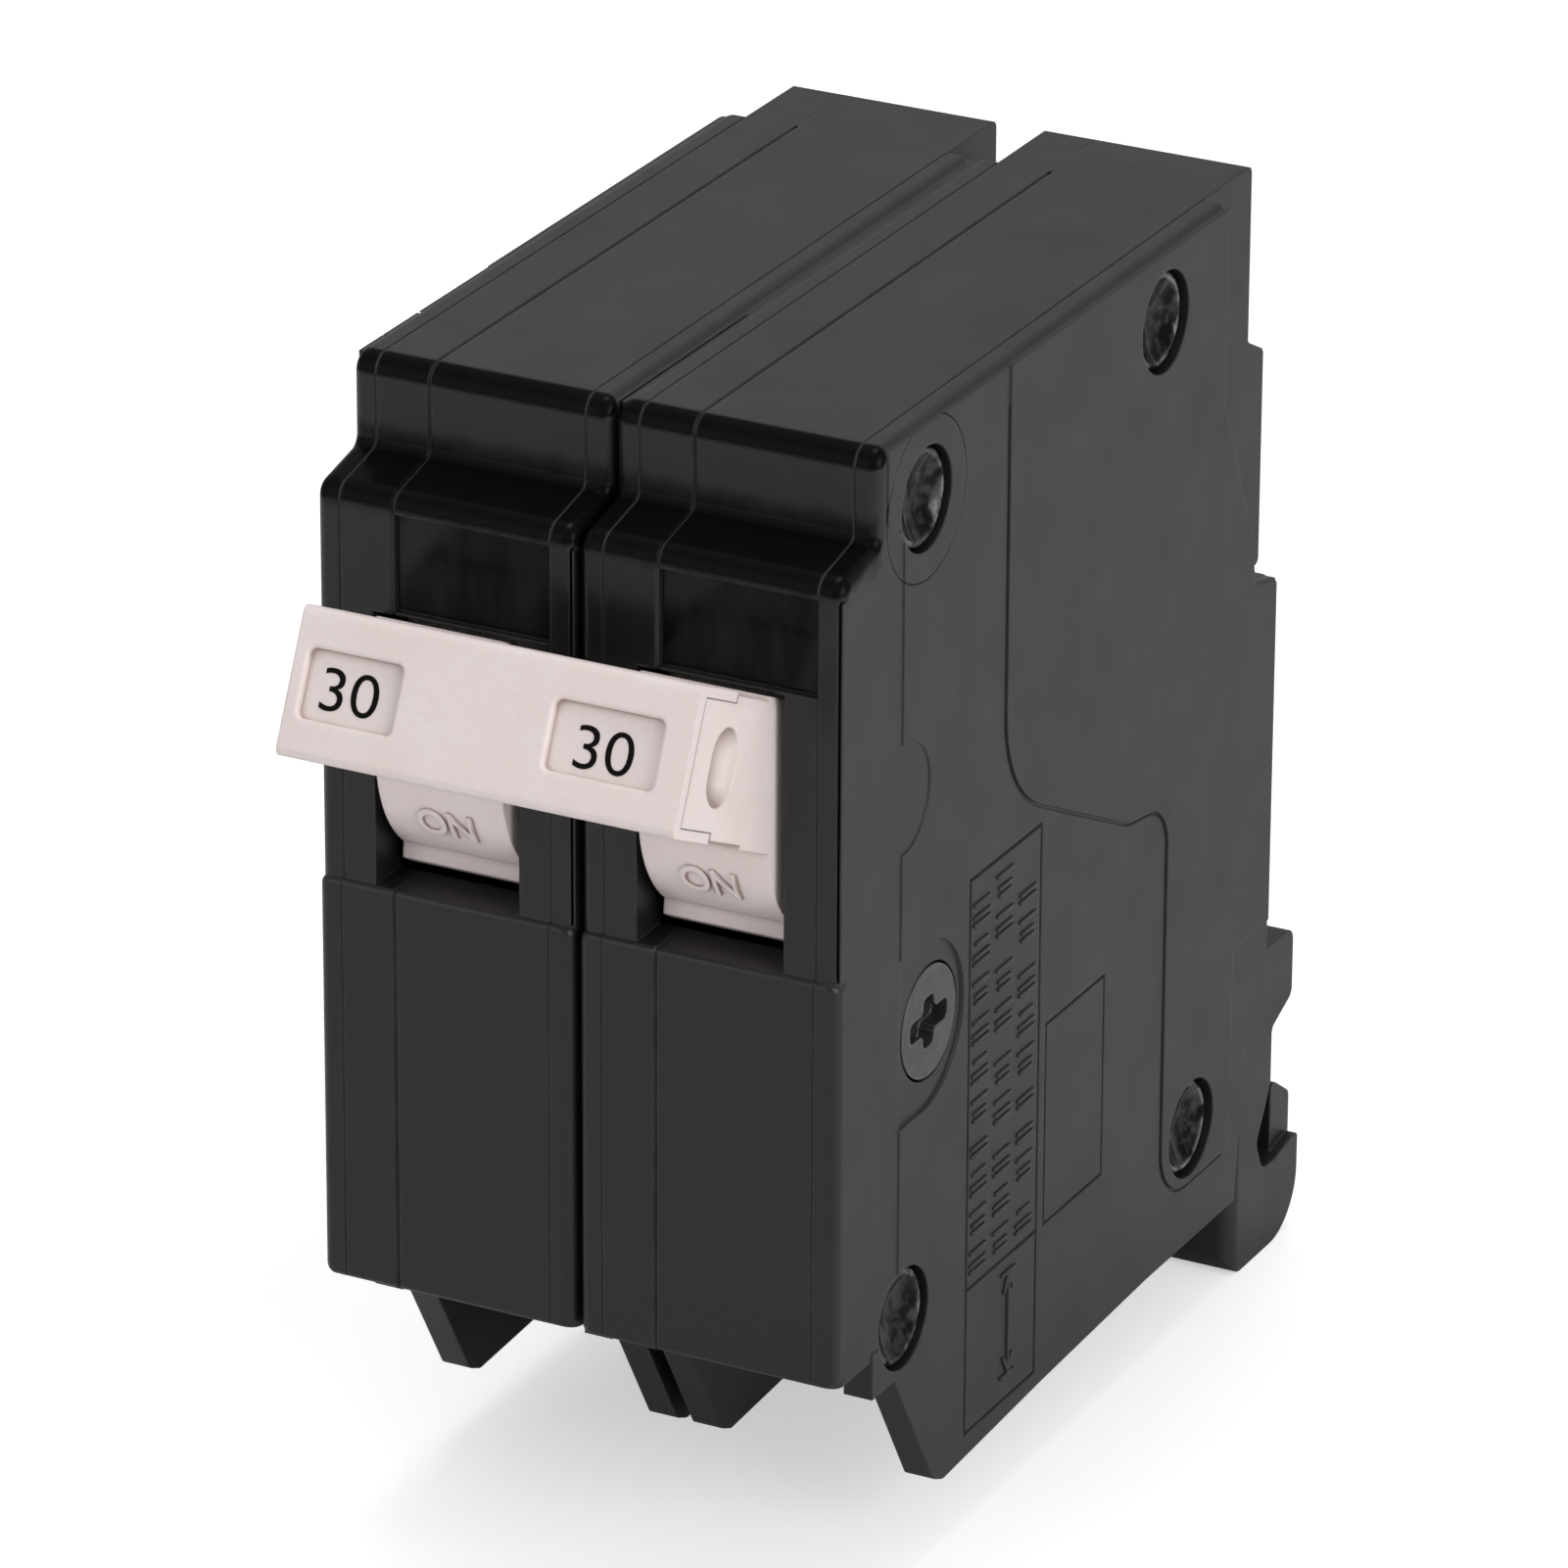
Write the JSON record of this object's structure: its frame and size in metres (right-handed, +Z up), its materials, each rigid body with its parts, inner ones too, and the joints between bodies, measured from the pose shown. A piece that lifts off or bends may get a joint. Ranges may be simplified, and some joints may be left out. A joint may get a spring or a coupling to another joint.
{
  "type": "circuit breaker",
  "caption": "Plug-on miniature circuit breaker with tied toggle handles, rail hook, stab jaws and screw wire terminals.",
  "frame": {"origin": "centre of the rear seating face, on the plane between the two poles", "axes": "+X across the poles, +Y out of the back towards the panel, +Z up towards the line end"},
  "size_m": [0.0382, 0.0843, 0.081],
  "materials": {
    "case_black": "moulded thermoset, low sheen on the sides and polished on the front steps",
    "handle_cream": "moulded, satin",
    "copper": "bare rolled copper",
    "copper_braid": "fine stranded copper",
    "zinc_steel": "zinc plated",
    "silver_contact": "silver alloy",
    "tinned_copper": "tin plated",
    "spring_steel": "oiled spring wire",
    "grey_fibre": "vulcanised fibre",
    "bimetal_strip": "rolled",
    "brass_screw": "turned",
    "tinned_aluminium": "tin plated",
    "trip_black": "moulded",
    "rivet_steel": "nickel plated"
  },
  "bodies": {
    "case": {"left_base_shell": "case_black", "left_cover_shell": "case_black", "left_fixed_contact": "silver_contact", "left_line_strap": "copper", "left_line_jaw": "tinned_copper", "left_jaw_spring": "spring_steel", "left_arc_plates": "zinc_steel", "left_arc_frame": "grey_fibre", "left_cradle_pin": "zinc_steel", "left_main_spring": "spring_steel", "left_bimetal": "bimetal_strip", "left_magnet_yoke": "zinc_steel", "left_armature_spring": "spring_steel", "left_calibration_screw": "brass_screw", "left_load_strap": "copper", "left_terminal_lug": "tinned_aluminium", "left_braid": "copper_braid", "right_base_shell": "case_black", "right_cover_shell": "case_black", "right_fixed_contact": "silver_contact", "right_line_strap": "copper", "right_line_jaw": "tinned_copper", "right_jaw_spring": "spring_steel", "right_arc_plates": "zinc_steel", "right_arc_frame": "grey_fibre", "right_cradle_pin": "zinc_steel", "right_main_spring": "spring_steel", "right_bimetal": "bimetal_strip", "right_magnet_yoke": "zinc_steel", "right_armature_spring": "spring_steel", "right_calibration_screw": "brass_screw", "right_load_strap": "copper", "right_terminal_lug": "tinned_aluminium", "right_braid": "copper_braid", "case_rivets": "rivet_steel"},
    "handles": {"left_handle": "handle_cream", "left_arm_pin": "zinc_steel", "right_handle": "handle_cream", "right_arm_pin": "zinc_steel", "handle_tie": "handle_cream"},
    "left_arm": {"left_contact_arm": "copper", "left_moving_contact": "silver_contact"},
    "right_arm": {"right_contact_arm": "copper", "right_moving_contact": "silver_contact"},
    "left_trip_lever": {"left_cradle": "zinc_steel"},
    "right_trip_lever": {"right_cradle": "zinc_steel"},
    "common_trip": {"trip_bar": "trip_black"},
    "left_latch": {"left_armature": "zinc_steel"},
    "right_latch": {"right_armature": "zinc_steel"},
    "left_saddle": {"left_pressure_plate": "zinc_steel"},
    "right_saddle": {"right_pressure_plate": "zinc_steel"},
    "left_clamp_screw": {"left_terminal_screw": "zinc_steel"},
    "right_clamp_screw": {"right_terminal_screw": "zinc_steel"}
  },
  "joints": [
    {"name": "handle_throw", "type": "hinge", "parent": "case", "child": "handles", "pos_m": [0, -0.0563, 0.01625], "axis": [1, 0, 0], "range_deg": [0, 50], "deforming": ["left_main_spring", "left_braid", "right_main_spring", "right_braid"]},
    {"name": "left_arm_swing", "type": "hinge", "parent": "handles", "child": "left_arm", "pos_m": [-0.00953, -0.05059, 0.01359], "axis": [1, 0, 0], "range_deg": [-86, 0]},
    {"name": "right_arm_swing", "type": "hinge", "parent": "handles", "child": "right_arm", "pos_m": [0.00953, -0.05059, 0.01359], "axis": [1, 0, 0], "range_deg": [-86, 0]},
    {"name": "trip", "type": "hinge", "parent": "case", "child": "left_trip_lever", "pos_m": [-0.00953, -0.0427, 0.03215], "axis": [1, 0, 0], "range_deg": [0, 18]},
    {"name": "right_lever_trip", "type": "hinge", "parent": "case", "child": "right_trip_lever", "pos_m": [0.00953, -0.0427, 0.03215], "axis": [1, 0, 0], "range_deg": [0, 18.5]},
    {"name": "trip_bar_turn", "type": "hinge", "parent": "case", "child": "common_trip", "pos_m": [0, -0.05195, -0.0009], "axis": [1, 0, 0], "range_deg": [-15, 0]},
    {"name": "left_latch_release", "type": "hinge", "parent": "case", "child": "left_latch", "pos_m": [-0.00953, -0.0343, -0.00985], "axis": [1, 0, 0], "range_deg": [-5, 0]},
    {"name": "right_latch_release", "type": "hinge", "parent": "case", "child": "right_latch", "pos_m": [0.00953, -0.0343, -0.00985], "axis": [1, 0, 0], "range_deg": [-5, 0]},
    {"name": "left_clamp", "type": "slide", "parent": "case", "child": "left_saddle", "axis": [0, 1, 0], "range_m": [0, 0.0026]},
    {"name": "left_screw_turn", "type": "hinge", "parent": "left_saddle", "child": "left_clamp_screw", "pos_m": [-0.00953, -0.0487, -0.02405], "axis": [0, 1, 0], "range_deg": [0, 1180]},
    {"name": "right_clamp", "type": "slide", "parent": "case", "child": "right_saddle", "axis": [0, 1, 0], "range_m": [0, 0.0026]},
    {"name": "right_screw_turn", "type": "hinge", "parent": "right_saddle", "child": "right_clamp_screw", "pos_m": [0.00953, -0.0487, -0.02405], "axis": [0, 1, 0], "range_deg": [0, 1180]}
  ],
  "couplings": [
    {"joint": "left_arm_swing", "follows": "handle_throw", "ratio": -1.7},
    {"joint": "right_arm_swing", "follows": "handle_throw", "ratio": -1.7},
    {"joint": "right_lever_trip", "follows": "trip", "ratio": 1},
    {"joint": "trip_bar_turn", "follows": "trip", "ratio": -0.8},
    {"joint": "left_latch_release", "follows": "trip", "ratio": -0.25},
    {"joint": "right_latch_release", "follows": "trip", "ratio": -0.25},
    {"joint": "left_screw_turn", "follows": "left_clamp", "rad_per_m": 7854},
    {"joint": "right_screw_turn", "follows": "right_clamp", "rad_per_m": 7854}
  ]
}
